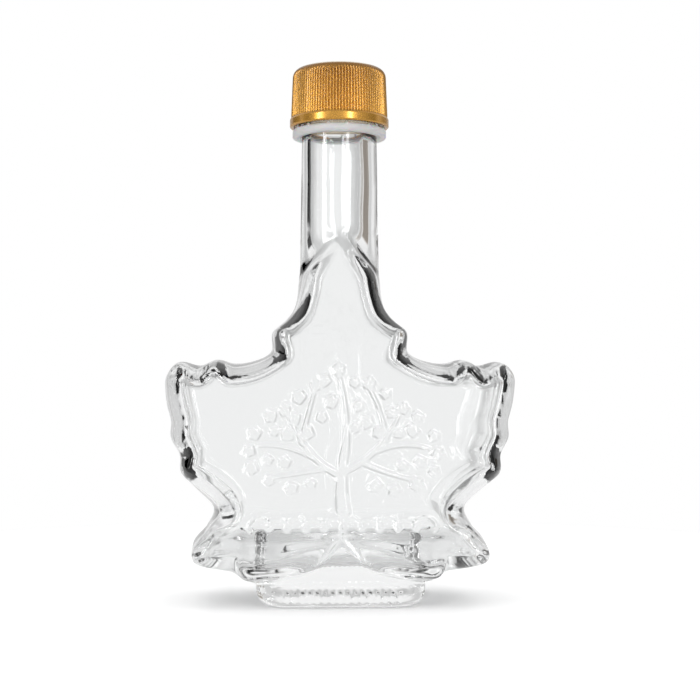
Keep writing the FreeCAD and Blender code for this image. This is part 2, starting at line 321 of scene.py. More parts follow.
def branch_height(x, z, start, bend, end, wide, narrow):
    """Ridge over the bent line (1-t)^2 start + 2t(1-t) bend + t^2 end, with a width that shrinks
    along it: the highest of the ridges over its segments."""
    t = np.linspace(0, 1, BRANCH_STEPS + 1)[:, None]
    start, bend, end = np.array([start, bend, end])
    line = (1 - t) ** 2 * start + 2 * t * (1 - t) * bend + t ** 2 * end
    best = np.zeros(x.shape, np.float32)
    for i in range(BRANCH_STEPS):
        s, off_x, off_z = off_segment(x, z, line[i], line[i + 1])
        width = wide + (narrow - wide) * (i + s) / BRANCH_STEPS
        best = np.maximum(best, ridge(np.hypot(off_x, off_z), 0.5 * width + BRANCH_EXTRA))
    return best


trunk_top = branch_height(np.full(1, 0.2), np.full(1, 30.0), *TREE[0])[0]
print("the trunk has", trunk_top.round(2), "of the relief's height")

# %% Height of a leaf, and of the whole tree
LEAF_REACH = 2.9                         # from a leaf's middle to the tip of its longest finger
FINGERS = [(0, 1.0), (64, 0.88), (-64, 0.88), (128, 0.80), (-128, 0.80)]   # degrees, share
FINGER_HALF = 0.55                       # half the angle that a finger takes, in radians
PALM = 0.60                              # share of the reach that the rim has between two fingers
RIM_SHIFT = 0.2                          # share of the sloping side that lies outside the rim
VEIN_DEPTH, VEIN_HALF = 0.35, 0.35       # groove along the middle finger: share of height, and mm
LEAF_SHARE = 0.9                         # height of leaves, next to branches


def leaf_height(x, z, place, angle, size):
    """Five-fingered leaf: at each angle the rim lies at the palm's radius, or further out near a
    finger, and a groove runs along the middle finger."""
    out = np.hypot(x - place[0], z - place[1])
    turn = np.arctan2(z - place[1], x - place[0]) - angle
    rim = np.full(x.shape, PALM, np.float32)
    for degrees, share in FINGERS:
        away = np.abs((turn - math.radians(degrees) + np.pi) % (2 * np.pi) - np.pi)
        rim = np.maximum(rim, PALM + (share - PALM) * np.clip(1 - away / FINGER_HALF, 0, 1))
    body = np.clip((LEAF_REACH * size * rim - out) / EDGE + RIM_SHIFT, 0, 1)
    vein = VEIN_DEPTH * np.exp(-(out * np.sin(turn) / VEIN_HALF) ** 2) * (np.cos(turn) > -0.5)
    return smooth(body) * (1 - vein)


def tree_height(x, z):
    """Largest height of all branches and leaves."""
    best = np.zeros(x.shape, np.float32)
    for branch in TREE:
        best = np.maximum(best, branch_height(x, z, *branch))
    for k, (px, pz, tip) in enumerate(CANOPY):
        size = 1.0 + 0.12 * math.sin(2.4 * k)
        best = np.maximum(best, LEAF_SHARE * leaf_height(x, z, (px, pz), math.radians(tip), size))
    return best


TREE_MAP = tree_height(X2, Z2)
print("the tree covers", round(float((TREE_MAP > 0.1).mean() * 100), 1), "percent of the grid")

# %% Running loops under the tree
RELIEF = 0.8                             # how far the relief stands out
SCROLL_REACH, SCROLL_Z = 28.0, 26.4      # half the line's length, and its height over the table
LOOPS = 5                                # to each side of the middle
LOOP_HALF_WIDE, LOOP_HALF_TALL = 1.7, 1.75
LOOP_SWELL = 0.35                        # how much taller some loops are
PEN_HALF, PEN_SHARE = 0.8, 0.85          # half the stroke's width, and its height next to a branch


def loop_height(x, z):
    """A round pen stroke whose hand circles as it moves along, in taller and lower turns."""
    turn = np.linspace(-2 * LOOPS * np.pi, 2 * LOOPS * np.pi, 72 * LOOPS + 1)
    px = SCROLL_REACH * turn / turn[-1] - LOOP_HALF_WIDE * np.sin(turn)
    pz = SCROLL_Z - (LOOP_HALF_TALL + LOOP_SWELL * np.cos(turn * 0.4)) * np.cos(turn)
    best = np.full(x.shape, 9.0, np.float32)
    for start, end in zip(zip(px[:-1], pz[:-1]), zip(px[1:], pz[1:])):
        _, off_x, off_z = off_segment(x, z, start, end)
        best = np.minimum(best, np.hypot(off_x, off_z))
    return PEN_SHARE * ridge(best, PEN_HALF)


RELIEF_MAP = RELIEF * np.maximum(TREE_MAP, loop_height(X2, Z2))
print("relief covers", round(float((RELIEF_MAP > 0.1).mean() * 100), 1), "percent of the grid")

# %% [markdown]
# ## The glass field
# The leaf's wall has three parts: the flat face, a short bevel, and the side that falls out to the
# parting line. Each is a half space, and their soft maximum is the leaf. The neck is a radius for
# every height, and the foot is a slab with rounded corners and two lobes of glass hanging over it.

# %% Leaf
BEND_Z = FACE_LOW + 0.606 * FACE_HEIGHT  # above this the faces lean back to the neck
BEND_ROUND = 3.0
TIP_Z = FACE_LOW + FACE_HEIGHT
NECK_LOW, NECK_TOP = 12.7, 11.95         # neck radius at the shoulders and under the ring
TIP_SHARE, TIP_OUT = 0.33, 0.9           # at the tip: share of the neck's taper, and mm over it
RELIEF_HOME = 0.45                       # how far the plain face lies back, to make room for relief
BEVEL_OUT, BEVEL_DEPTH = 0.62, 0.84      # where the bevel ends, as shares of flare and half depth
LEAST_FLARE = 1.5                        # the side's run outwards has at least this
PARTING_SOFT = 1.0                       # mm over which the front and back halves round together


def half_depth(z, wall):
    """Even up to the bend, then leaning back to the neck, with the bend rounded."""
    at_tip = NECK_LOW + (NECK_TOP - NECK_LOW) * TIP_SHARE + TIP_OUT
    lean = HALF_DEPTH + (at_tip - HALF_DEPTH) * (z - BEND_Z) / (TIP_Z - BEND_Z)
    return soft_min(np.full_like(z, HALF_DEPTH), lean, BEND_ROUND) - wall


def leaf_field(face_d, parting_d, y, z, wall, edge_round, side_round, lift):
    """Soft maximum of face, bevel and side. s is the distance outside the face's outline, far the
    distance from the parting plane, softened near it, and lift the relief on the front face."""
    flare = np.maximum(face_d - parting_d, LEAST_FLARE)[:, None, :]
    s = face_d[:, None, :]
    deep = half_depth(z, wall + RELIEF_HOME)
    far = np.sqrt(y * y + PARTING_SOFT ** 2)
    face = far - deep - lift[:, None, :] * (y < 0)
    rise, run = (1 - BEVEL_DEPTH) * deep, BEVEL_OUT * flare
    bevel = (s * rise + (far - deep) * run) / np.hypot(rise, run)
    rise, run = BEVEL_DEPTH * deep, (1 - BEVEL_OUT) * flare
    side = ((s - BEVEL_OUT * flare) * rise + (far - BEVEL_DEPTH * deep) * run) / np.hypot(rise, run)
    return soft_max(face, soft_max(bevel, side, side_round), edge_round)


print("half depth at the bend and at the tip", half_depth(np.array([BEND_Z, TIP_Z]), 0.0).round(2))

# %% Neck
SHOULDER_Z = FACE_LOW + 0.853 * FACE_HEIGHT
NECK_START = SHOULDER_Z - 8.0            # the neck reaches down into the leaf to here
BEAD_LOW = 1.1                           # the bead starts this far over the ring's lower edge
BEAD_RADIUS, THREAD_RADIUS = NECK_TOP + 1.1, NECK_TOP + 0.55       # bead, and glass inside the cap


def neck_radius(z):
    """Taper, bead under the cap, straight glass inside the cap."""
    bead = RING_LOW[2] + BEAD_LOW
    heights = [SHOULDER_Z, RING_LOW[2], bead, bead + 0.9, bead + 1.5, bead + 3.0, LIP_Z]
    radii = [NECK_LOW, NECK_TOP, NECK_TOP, BEAD_RADIUS, BEAD_RADIUS, THREAD_RADIUS, THREAD_RADIUS]
    return np.interp(z, heights, radii).astype(np.float32)


print("neck radius at the shoulders and at the lip", neck_radius(np.array([SHOULDER_Z, LIP_Z])))

# %% Foot
FOOT_WIDE, FOOT_DEEP, FOOT_TALL = 52.8, 45.2, 22.96
FOOT_CORNER, FOOT_ROUND = 11.0, 5.0      # radius of the upright corners and of the lower edge


def outside_corner(a, b, radius):
    """Distance to a quarter of a disc of this radius, with straight sides beyond it."""
    return (np.hypot(np.maximum(a, 0), np.maximum(b, 0))
            + np.minimum(np.maximum(a, b), 0) - radius)


def foot_field(x, y, z):
    """Distance to a slab whose upright corners and lower edge are rounded."""
    across = np.abs(x) - (FOOT_WIDE / 2 - FOOT_CORNER)
    along = np.abs(y) - (FOOT_DEEP / 2 - FOOT_CORNER)
    plan = outside_corner(across, along, FOOT_CORNER)
    rounded = outside_corner(plan + FOOT_ROUND, FOOT_ROUND - z, FOOT_ROUND)
    return soft_max(rounded, z - FOOT_TALL, 1.0)


print("middle of the foot to its skin", foot_field(0.0, 0.0, FOOT_TALL / 2).round(2))

# %% Pips and beads on the foot
PIP_PITCH_X, PIP_PITCH_Z, PIP_TALL = 2.3, 2.2, 0.36
PIP_SWAY = 0.35                          # how far the rows of pips wave up and down
HEEL_Z, HEEL_HALF, HEEL_REACH = 2.9, 1.4, 20.0             # the pips' band, and half its length
BEAD_PITCH, BEADS_Z, BEADS_HALF, BEAD_TALL = 1.5, 11.9, 0.8, 0.5
BEADS_REACH = 10.5                       # half the length of the beaded line


def band(away, half, soft):
    """1 within half a width, falling to 0 over the soft edge."""
    return np.clip((half - np.abs(away)) / soft, 0, 1)


def foot_relief(x, z):
    """Fine pips that roughen the heel, and a beaded line across the foot's front and back."""
    sway = PIP_SWAY * np.sin(x * 2.1)
    pips = np.sin(x * 2 * np.pi / PIP_PITCH_X) * np.sin((z + sway) * 2 * np.pi / PIP_PITCH_Z)
    heel = np.clip(1.4 - np.abs(z - HEEL_Z) / HEEL_HALF, 0, 1) * band(x, HEEL_REACH, 3)
    beads = np.clip(np.cos(x * 2 * np.pi / BEAD_PITCH), 0, 1)
    line = np.clip(1 - np.abs(z - BEADS_Z) / BEADS_HALF, 0, 1)
    return PIP_TALL * pips * heel + BEAD_TALL * (beads * line) * band(x, BEADS_REACH, 2)


print("a bead stands out", foot_relief(0.0, BEADS_Z), "mm")

# %% Lobes over the foot
APRON_HALF, APRON_TOP = 31.6, 24.0
APRON_INSET, APRON_LEAN = 1.1, 0.03      # how far it lies behind the faces, and more lower down
ARCH_LOW, ARCH_RISE, ARCH_HALF = 8.2, 13.2, 6.2
ARCH_SHARE = 0.8                         # turns height over the sloping arch into distance from it
LOBE_CORNER, LOBE_EDGE = 4.5, 1.6        # rounding in the face's plane, and across it


def arch_height(x):
    """Lower edge of the two bottom lobes over the foot: low at the sides, rising to a point."""
    return ARCH_LOW + ARCH_RISE / (1 + (np.abs(x) / ARCH_HALF) ** 1.8)


def apron_field(x, y, z):
    """Glass that hangs from the leaf over the foot, down to the arch."""
    edge = soft_max(np.abs(x) - APRON_HALF, ARCH_SHARE * (arch_height(x) - z), LOBE_CORNER)
    deep = HALF_DEPTH - APRON_INSET - APRON_LEAN * (APRON_TOP - z)
    return soft_max(soft_max(np.abs(y) - deep, z - APRON_TOP, 1.0), edge, LOBE_EDGE)


print("the arch rises to", arch_height(0.0), "and ends at", arch_height(APRON_HALF).round(2))

# %% Outside of the glass
FACE_EDGE, LEAN_EDGE = 0.7, 1.1          # rounding of the face's edge, and what the bend adds
LEAN_RUN = 6.0                           # the height over which it is added
SIDE_ROUND, ROOM_SIDE_ROUND = 3.0, 4.0   # rounding between bevel and side, outside and in the room
NECK_MELT, APRON_MELT, FOOT_MELT = 1.6, 1.2, 0.9           # fillets where these run into the leaf
DISH_DEEP, DISH_HALF_X, DISH_HALF_Y = 1.6, 20.0, 16.0      # hollow under the foot
DISH_EDGE, LIP_EDGE = 0.8, 1.2

GX3, GY3, GZ3 = GX[:, None, None], GY[None, :, None], GZ[None, None, :]
leaning = np.clip((GZ3 - BEND_Z + LEAN_RUN / 2) / LEAN_RUN, 0, 1)
outer = leaf_field(FACE_D, PARTING_D, GY3, GZ3, 0.0,
                   FACE_EDGE + LEAN_EDGE * leaning, SIDE_ROUND, RELIEF_MAP)
neck = soft_max(np.sqrt(GX3 ** 2 + GY3 ** 2) - neck_radius(GZ3), NECK_START - GZ3, 1.0)
outer = soft_min(outer, neck, NECK_MELT)
foot = foot_field(GX3, GY3, GZ3) - foot_relief(GX3, GZ3)
outer = soft_min(soft_min(outer, apron_field(GX3, GY3, GZ3), APRON_MELT), foot, FOOT_MELT)
dish = GZ3 - DISH_DEEP * np.clip(1 - (GX3 / DISH_HALF_X) ** 2 - (GY3 / DISH_HALF_Y) ** 2, -1, 1)
outer = soft_max(outer, -dish, DISH_EDGE)
outer = soft_max(outer, GZ3 - LIP_Z, LIP_EDGE)
print("inside the outer skin", round(float((outer < 0).sum()) / 1e6, 2), "million points")

# %% [markdown]
# ## The room inside
# Blown glass is thick at the base, thin and uneven elsewhere, and its inner wall is softer than the
# outer one, which the mould gives. The room is the same leaf again, further in and rounder, with a
# floor, and the bore of the neck melts into its top.

# %% Room
ROOM_EDGE_ROUND, ROOM_LEAN_EDGE = 1.0, 1.2
LOW_BEND_Z, LOW_HALF = 21.0, 19.4        # below this height the room's faces draw in
STEEP, SLIGHT = 0.9, 0.3                 # how fast they part above it, and below it
LOW_ROUND, FLOOR_ROUND, TOP_ROUND = 3.0, 4.0, 6.0

low_side = np.abs(GY3) - LOW_HALF - np.where(GZ3 > LOW_BEND_Z, STEEP, SLIGHT) * (GZ3 - LOW_BEND_Z)
room = leaf_field(INNER_FACE_D, INNER_PARTING_D, GY3, GZ3, FACE_WALL,
                  ROOM_EDGE_ROUND + ROOM_LEAN_EDGE * leaning, ROOM_SIDE_ROUND, np.zeros_like(X2))
room = soft_max(soft_max(room, low_side, LOW_ROUND), BASE_GLASS - GZ3, FLOOR_ROUND)
room = soft_max(room, GZ3 - TIP_Z, TOP_ROUND)
print("in the room", round(float((room < 0).sum()) / 1e6, 2), "million points")

# %% Bore
BORE, BORE_MOUTH = 8.3, 7.5              # the neck's hollow, and where it narrows under the cap
BORE_SHIFT, BORE_SWAY = -0.5, 0.25       # blown necks are never even: this one is thinner at left
MOUTH_Z, MOUTH_RUN = LIP_Z - 10.0, 4.0   # where it starts to narrow, and over what height
BORE_START = SHOULDER_Z - 16.0           # its lower end, inside the room
BORE_ROUND, BORE_MELT = 4.0, 5.0         # rounding of that end, and fillet where it meets the room

mouth = np.clip((GZ3 - MOUTH_Z) / MOUTH_RUN, 0, 1)
bore_radius = (BORE + (BORE_MOUTH - BORE) * mouth
               + BORE_SWAY * np.sin((GZ3 - 100.0) / 15.0) * (1 - mouth))
bore = np.sqrt((GX3 - BORE_SHIFT * (1 - mouth)) ** 2 + GY3 ** 2) - bore_radius
bore = soft_max(bore, BORE_START - GZ3, BORE_ROUND)
print("bore radius", bore_radius.min().round(2), "to", bore_radius.max().round(2))

# %% Glass: outside less the room
def wander(x, y, z):
    """Slow uneven thickness of blown glass, within about a quarter of a millimetre."""
    return (0.10 * np.sin(x / 5.3 + 0.7 * np.sin(z / 9.1)) + 0.08 * np.sin(z / 6.7 + y / 8.0 + 1.3)
            + 0.05 * np.sin((x + z) / 3.9 + y / 5.0))


room = soft_min(room, bore, BORE_MELT) + wander(GX3, GY3, GZ3)
FIELD = soft_max(outer, -room, 1.0).astype(np.float32)
del outer, neck, room, bore, foot
print("glass", round(float((FIELD < 0).sum()) / 1e6, 2), "million points")

# %% [markdown]
# ## From the field to a skin
# One point goes into every grid cell that the zero surface crosses, at the mean of its crossings,
# and each grid edge that changes sign is covered by a quad between its four cells. This is known as
# surface nets. It gives even quads and needs no table of cases.

# %% Reading the field between its points
def sample(volume, points):
    """Values of a grid volume at points (mm), mixed from the eight nearest grid points."""
    where = [np.interp(points[:, a], g, np.arange(len(g))) for a, g in enumerate((GX, GY, GZ))]
    low = [np.minimum(w.astype(int), len(g) - 2) for w, g in zip(where, (GX, GY, GZ))]
    part = [w - l for w, l in zip(where, low)]
    value = 0.0
    for corner in np.ndindex(2, 2, 2):
        weight = np.prod([p if c else 1 - p for p, c in zip(part, corner)], 0)
        value = value + weight * volume[low[0] + corner[0], low[1] + corner[1], low[2] + corner[2]]
    return value


SLOPES = np.gradient(FIELD, GX, GY, GZ)


def slope_at(points):
    """Direction in which the field grows, at points in millimetres."""
    return np.stack([sample(s, points) for s in SLOPES], 1)


def unit(vectors):
    """Vectors scaled to length 1."""
    return vectors / np.maximum(np.linalg.norm(vectors, axis=1, keepdims=True), 1e-9)


print("slope in the base glass", slope_at(np.array([[0.0, 0.0, BASE_GLASS - 2]])).round(2))

# %% Surface nets
def cell_points(inside, field):
    """One point (mm) for each cell with corners on both sides of zero, the cells' places in the
    grid, and an array that gives each cell the number of its point."""
    cells = np.zeros(tuple(n - 1 for n in field.shape), np.int8)
    for i, j, k in np.ndindex(2, 2, 2):
        cells += inside[i:i + cells.shape[0], j:j + cells.shape[1], k:k + cells.shape[2]]
    active = np.argwhere((cells > 0) & (cells < 8))
    number = np.full(cells.shape, -1, np.int32)
    number[tuple(active.T)] = np.arange(len(active))
    total, count = np.zeros((len(active), 3)), np.zeros((len(active), 1))
    for axis in range(3):
        for i, j in np.ndindex(2, 2):
            a = active + np.insert(np.array([i, j]), axis, 0)
            b = a.copy()
            b[:, axis] += 1
            fa, fb = field[tuple(a.T)], field[tuple(b.T)]
            cross = (fa < 0) != (fb < 0)
            point = a.astype(float)
            point[:, axis] += np.where(cross, fa / np.where(cross, fa - fb, 1), 0)
            total += point * cross[:, None]
            count += cross[:, None]
    index = total / count
    places = [np.interp(index[:, a], np.arange(len(g)), g) for a, g in enumerate((GX, GY, GZ))]
    return np.stack(places, 1), active, number


def surface_nets(field):
    """Points (mm), quads and grid cells of the zero surface, facing to where the field grows."""
    inside = field < 0
    points, active, number = cell_points(inside, field)
    quads = []
    for axis in range(3):
        one, two = (axis + 1) % 3, (axis + 2) % 3
        low = np.take(inside, range(field.shape[axis] - 1), axis)
        high = np.take(inside, range(1, field.shape[axis]), axis)
        edges = np.argwhere(low != high)
        edges = edges[(edges[:, one] > 0) & (edges[:, two] > 0)]
        step_one, step_two = np.eye(3, dtype=int)[one], np.eye(3, dtype=int)[two]
        around = [edges - step_one - step_two, edges - step_two, edges, edges - step_one]
        quad = np.stack([number[tuple(c.T)] for c in around], 1)
        flip = ~low[tuple(edges.T)]
        quad[flip] = quad[flip][:, ::-1]
        quads.append(quad)
    return points, np.concatenate(quads), active


glass_points, glass_quads, glass_cells = surface_nets(FIELD)
print("skin", len(glass_points), "points", len(glass_quads), "quads")

# %% Back onto the zero surface
MOST_MOVE = 0.35                         # mm


def settled(points):
    """Points moved along the slope onto the zero surface, twice by at most MOST_MOVE."""
    for _ in range(2):
        slope = slope_at(points)
        steep = np.maximum((slope ** 2).sum(1, keepdims=True), 0.1)
        move = sample(FIELD, points)[:, None] * slope / steep
        points = points - np.clip(move, -MOST_MOVE, MOST_MOVE)
    return points


print("furthest point off the surface", np.abs(sample(FIELD, glass_points)).max().round(2))

# %% [markdown]
# ## Fewer triangles, and none folded
# The nets have far more points than plain glass needs. A decimate modifier would thin them, but it
# doesn't know the field. Here the points of a few neighbouring cells become one where the glass is
# plain, and that point goes back onto the surface. A few triangles then lie folded over: they are
# first evened out, and what is still folded loses its shortest side.

# %% Merging points
def cleared(points, faces):
    """Points and triangles without the triangles that have lost a corner, those that lie back to
    back, and the points that no triangle holds."""
    faces = faces[(faces != np.roll(faces, -1, 1)).all(1)]
    same, times = np.unique(np.sort(faces, 1), axis=0, return_inverse=True, return_counts=True)[1:]
    used, faces = np.unique(faces[times[same.ravel()] == 1], return_inverse=True)
    return points[used], faces.reshape(-1, 3)


def merged(points, quads, cells, blocks, sheet):
    """Triangles of the skin after the points in each block of cells, on one sheet, have become
    one at their mean."""
    key = np.concatenate([cells // blocks, blocks, sheet[:, None]], 1)
    number = np.unique(key, axis=0, return_inverse=True)[1].ravel()
    count = np.bincount(number)
    places = np.stack([np.bincount(number, points[:, a]) / count for a in range(3)], 1)
    faces = number[quads]
    return cleared(places, np.concatenate([faces[:, [0, 1, 2]], faces[:, [0, 2, 3]]]))


def bend_at(normals, quads):
    """At each point, the largest 1 - cosine between its normal and a neighbour's."""
    bend = np.zeros(len(normals))
    for a, b in ((0, 1), (1, 2), (2, 3), (3, 0)):
        one, two = quads[:, a], quads[:, b]
        turn = 1 - (normals[one] * normals[two]).sum(1)
        np.maximum.at(bend, one, turn)
        np.maximum.at(bend, two, turn)
    return bend


directions = unit(slope_at(glass_points))
bend = bend_at(directions, glass_quads)
print("sharpest bend between neighbours, as 1 - cosine", bend.max().round(2))

# %% Blocks of cells to merge
GENTLE, FLAT = 0.004, 0.0003             # largest bend for pairs of cells, and for blocks of four
RELIEF_DEEP = 1.6                        # the relief lies within this of the front face
FACING, SIDEWAYS = 0.99, 0.3             # least y of a direction on a face, and most on a side wall
SIDE_CLEAR = 5.0                         # side walls keep their points this near to a face

by_relief = (blurred(RELIEF_MAP, 0.6) > 0.01)[glass_cells[:, 0], glass_cells[:, 2]]
by_relief &= glass_points[:, 1] < RELIEF_DEEP - HALF_DEPTH
gentle = (bend < GENTLE) & ~by_relief
flat = gentle & (bend < FLAT) & (np.abs(directions[:, 1]) > FACING)
side = gentle & (np.abs(directions[:, 1]) < SIDEWAYS)
side &= np.abs(glass_points[:, 1]) < HALF_DEPTH - SIDE_CLEAR
fine_x = np.diff(GX)[glass_cells[:, 0]] < 0.6 * COARSE
fine_z = np.diff(GZ)[glass_cells[:, 2]] < 0.6 * COARSE
blocks = np.ones_like(glass_cells)
blocks[gentle, 0] = 1 + fine_x[gentle]
blocks[gentle, 2] = 1 + fine_z[gentle]
blocks[side, 1] = 3
blocks[flat, 0] = 2 + 2 * fine_x[flat]
blocks[flat, 2] = 2 + 2 * fine_z[flat]
main_axis = np.abs(directions).argmax(1)
sheet = 2 * main_axis + (directions[np.arange(len(main_axis)), main_axis] > 0)
glass_places, glass_faces = merged(glass_points, glass_quads, glass_cells, blocks, sheet)
print("points: relief", int(by_relief.sum()), "flat", int(flat.sum()), "side", int(side.sum()),
      "bent", int((~gentle & ~by_relief).sum()), "after merging", len(glass_places))

# %% Evening out and unfolding
LEANING, FOLDED = 0.4, 0.1               # outwardness under which triangles are evened out, and fold


def outwardness(points, faces):
    """Cosine between each triangle's own direction and the field's slope at its corners."""
    corners = points[faces]
    looks = unit(np.cross(corners[:, 1] - corners[:, 0], corners[:, 2] - corners[:, 0]))
    return (looks * unit(slope_at(points))[faces].mean(1)).sum(1)


def relaxed(points, faces):
    """Points of the triangles that look against the field's slope, moved to the mean of the points
    around them and back onto the skin."""
    for _ in range(4):
        wrong = np.unique(faces[outwardness(points, faces) < LEANING])
        around, count = np.zeros_like(points), np.zeros(len(points))
        for a, b in ((0, 1), (1, 2), (2, 0)):
            for one, two in ((faces[:, a], faces[:, b]), (faces[:, b], faces[:, a])):
                count += np.bincount(one, minlength=len(points))
                sums = [np.bincount(one, points[two, k], len(points)) for k in range(3)]
                around += np.stack(sums, 1)
        moved = points.copy()
        moved[wrong] = around[wrong] / count[wrong, None]
        points = settled(moved)
        print("against the slope", len(wrong), "points")
    return points


def unfolded(points, faces):
    """Points and triangles after the shortest side of every triangle that looks inwards has shrunk
    to nothing."""
    for _ in range(3):
        bad = faces[outwardness(points, faces) < FOLDED]
        sides = np.stack([bad, np.roll(bad, -1, 1)], 2)
        length = np.linalg.norm(points[sides[..., 0]] - points[sides[..., 1]], axis=2)
        shortest = sides[np.arange(len(bad)), length.argmin(1)]
        number = np.arange(len(points))
        number[shortest.max(1)] = shortest.min(1)
        while (number[number] != number).any():
            number = number[number]
        points, faces = cleared(points, number[faces])
        print("looked inwards", len(bad), "triangles")
    return points, faces


glass_places = relaxed(settled(glass_places), glass_faces)
glass_places, glass_faces = unfolded(glass_places, glass_faces)
print("glass box", glass_places.min(0).round(2), glass_places.max(0).round(2))

# %% The glass as a mesh
def mesh_from(name, points, faces):
    """Mesh object at the origin from points in millimetres and faces as rows of indices."""
    mesh = bpy.data.meshes.new(name)
    size = faces.shape[1]
    mesh.vertices.add(len(points))
    mesh.vertices.foreach_set("co", (np.asarray(points) * MM).astype(np.float32).ravel())
    mesh.loops.add(faces.size)
    mesh.loops.foreach_set("vertex_index", faces.astype(np.int32).ravel())
    mesh.polygons.add(len(faces))
    mesh.polygons.foreach_set("loop_start", np.arange(0, faces.size, size, dtype=np.int32))
    mesh.update(calc_edges=True)
    mesh.validate()
    mesh.shade_smooth()
    piece = bpy.data.objects.new(name, mesh)
    bpy.context.scene.collection.objects.link(piece)
    print(name, len(mesh.vertices), "points", len(mesh.polygons), "faces")
    return piece


glass = mesh_from("leaf_bottle_glass", glass_places, glass_faces)
glass.data.normals_split_custom_set_from_vertices(unit(slope_at(glass_places)))
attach(glass, "root")
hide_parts("bottle")
del FIELD, SLOPES

# %% [markdown]
# ## The cap and its ribs
# A screw cap is moulded plastic: a smooth rim, a ribbed grip, a rounded edge and a flat top. Ribs
# could be an array of small boxes, but here the cap is one surface over angle and height. Its
# radius is the profile's, less a groove that swings with the angle and fades at rim and top edge.

# %% Surfaces turned round the axis
def carried_round(radius, height, angle):
    """Points (mm) with these radii and heights at each angle: (r cos a, r sin a, h)."""
    radius, height, angle = np.broadcast_arrays(radius, height, angle)
    return np.stack([radius * np.cos(angle), radius * np.sin(angle), height], -1).reshape(-1, 3)


def turned_grid(rows, columns):
    """Quads of a grid of rows (along the profile) and columns (round the axis), closed round."""
    r, c = np.meshgrid(np.arange(rows - 1), np.arange(columns), indexing="ij")
    a, b = r * columns + c, r * columns + (c + 1) % columns
    return np.stack([a, b, b + columns, a + columns], -1).reshape(-1, 4)


def with_poles(points, quads, columns, low, high):
    """Triangles of the quads, and fans that close the first and the last row of a turned grid."""
    c = np.arange(columns)
    after, last = (c + 1) % columns, len(points) - columns
    first_fan = np.stack([after, c, np.full(columns, len(points))], 1)
    last_fan = np.stack([last + c, last + after, np.full(columns, len(points) + 1)], 1)
    points = np.vstack([points, [[0, 0, low]], [[0, 0, high]]])
    return points, np.concatenate([quads[:, [0, 1, 2]], quads[:, [0, 2, 3]], first_fan, last_fan])


print("quads between three rows of eight points", len(turned_grid(3, 8)))

# %% Cap
RIBS, RIB_DEPTH, RIB_SAMPLES = 100, 0.5, 8                 # samples are points for each rib
RIB_POWER = 2.6                          # higher for narrower grooves
CAP_BAND, CAP_ROUND = 2.8, 2.8           # height of the smooth rim, and radius of the top edge
CAP_LIP, CAP_TOP = CAP_LOW[2], CAP_HIGH[2]
GRIP_LOW, GRIP_TOP = CAP_RADIUS - 0.4, CAP_RADIUS - 0.9
CAP_SEAL = LIP_Z + 0.02                  # underside of the cap's top, just clear of the glass
CAP_POLE = 0.4                           # radius of the hole that the fans close
GRIP_ROWS = 12


def cap_profile():
    """Radius, height and share of rib from inside the rim, over the outside, to the top."""
    band, start = CAP_LIP + CAP_BAND, CAP_TOP - CAP_ROUND
    rows = [(CAP_POLE, CAP_SEAL, 0), (12.8, CAP_SEAL, 0), (13.6, LIP_Z - 0.8, 0),
            (13.6, CAP_LIP + 0.5, 0), (14.0, CAP_LIP, 0), (CAP_RADIUS - 0.35, CAP_LIP, 0),
            (CAP_RADIUS, CAP_LIP + 0.35, 0), (CAP_RADIUS, CAP_LIP + 0.55, 0),
            (CAP_RADIUS, band - 0.6, 0), (CAP_RADIUS, band - 0.4, 0),
            (CAP_RADIUS - 0.15, band - 0.05, 0), (GRIP_LOW, band + 0.1, 0),
            (GRIP_LOW, band + 0.5, 1)]
    rows += [(GRIP_LOW + (GRIP_TOP - GRIP_LOW) * i / (GRIP_ROWS - 1), height, 1)
             for i, height in enumerate(np.linspace(band + 1.2, start, GRIP_ROWS))]
    rows += [(GRIP_TOP - CAP_ROUND * (1 - math.cos(a)), start + CAP_ROUND * math.sin(a),
              max(0.0, 1 - a / 0.75)) for a in np.linspace(0, np.pi / 2, 9)[1:]]
    return np.array(rows + [(9.0, CAP_TOP, 0), (5.0, CAP_TOP, 0), (CAP_POLE, CAP_TOP, 0)])


def cap_surface():
    """Radius(height) - depth * groove(angle), which leaves rounded crests between the grooves."""
    profile = cap_profile()
    angle = np.linspace(0, 2 * np.pi, RIBS * RIB_SAMPLES, endpoint=False)[None, :]
    groove = np.abs(np.cos(angle * RIBS / 2)) ** RIB_POWER
    radius = profile[:, :1] - RIB_DEPTH * profile[:, 2:] * groove
    points = carried_round(radius, profile[:, 1:2], angle)
    quads = turned_grid(len(profile), RIBS * RIB_SAMPLES)
    return with_poles(points, quads, RIBS * RIB_SAMPLES, CAP_SEAL, CAP_TOP)


cap = mesh_from("gold_screw_cap", *cap_surface())
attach(cap, "root")
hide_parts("cap")

# %% [markdown]
# ## The tamper ring
# When the cap is first turned, its lower ring breaks off small bridges and stays on the neck. It is
# a band with a ledge that reaches in to the glass, and the stubs of the bridges stand on its top.

# %% Ring
RING_COLUMNS = 480
RING_WALL = 1.1
STUBS = np.radians([-134, -106, -83, -52, -20, 14, 46, 78, 112, 141, 170, 203])
STUB_TALL, STUB_HALF = 0.55, 0.45


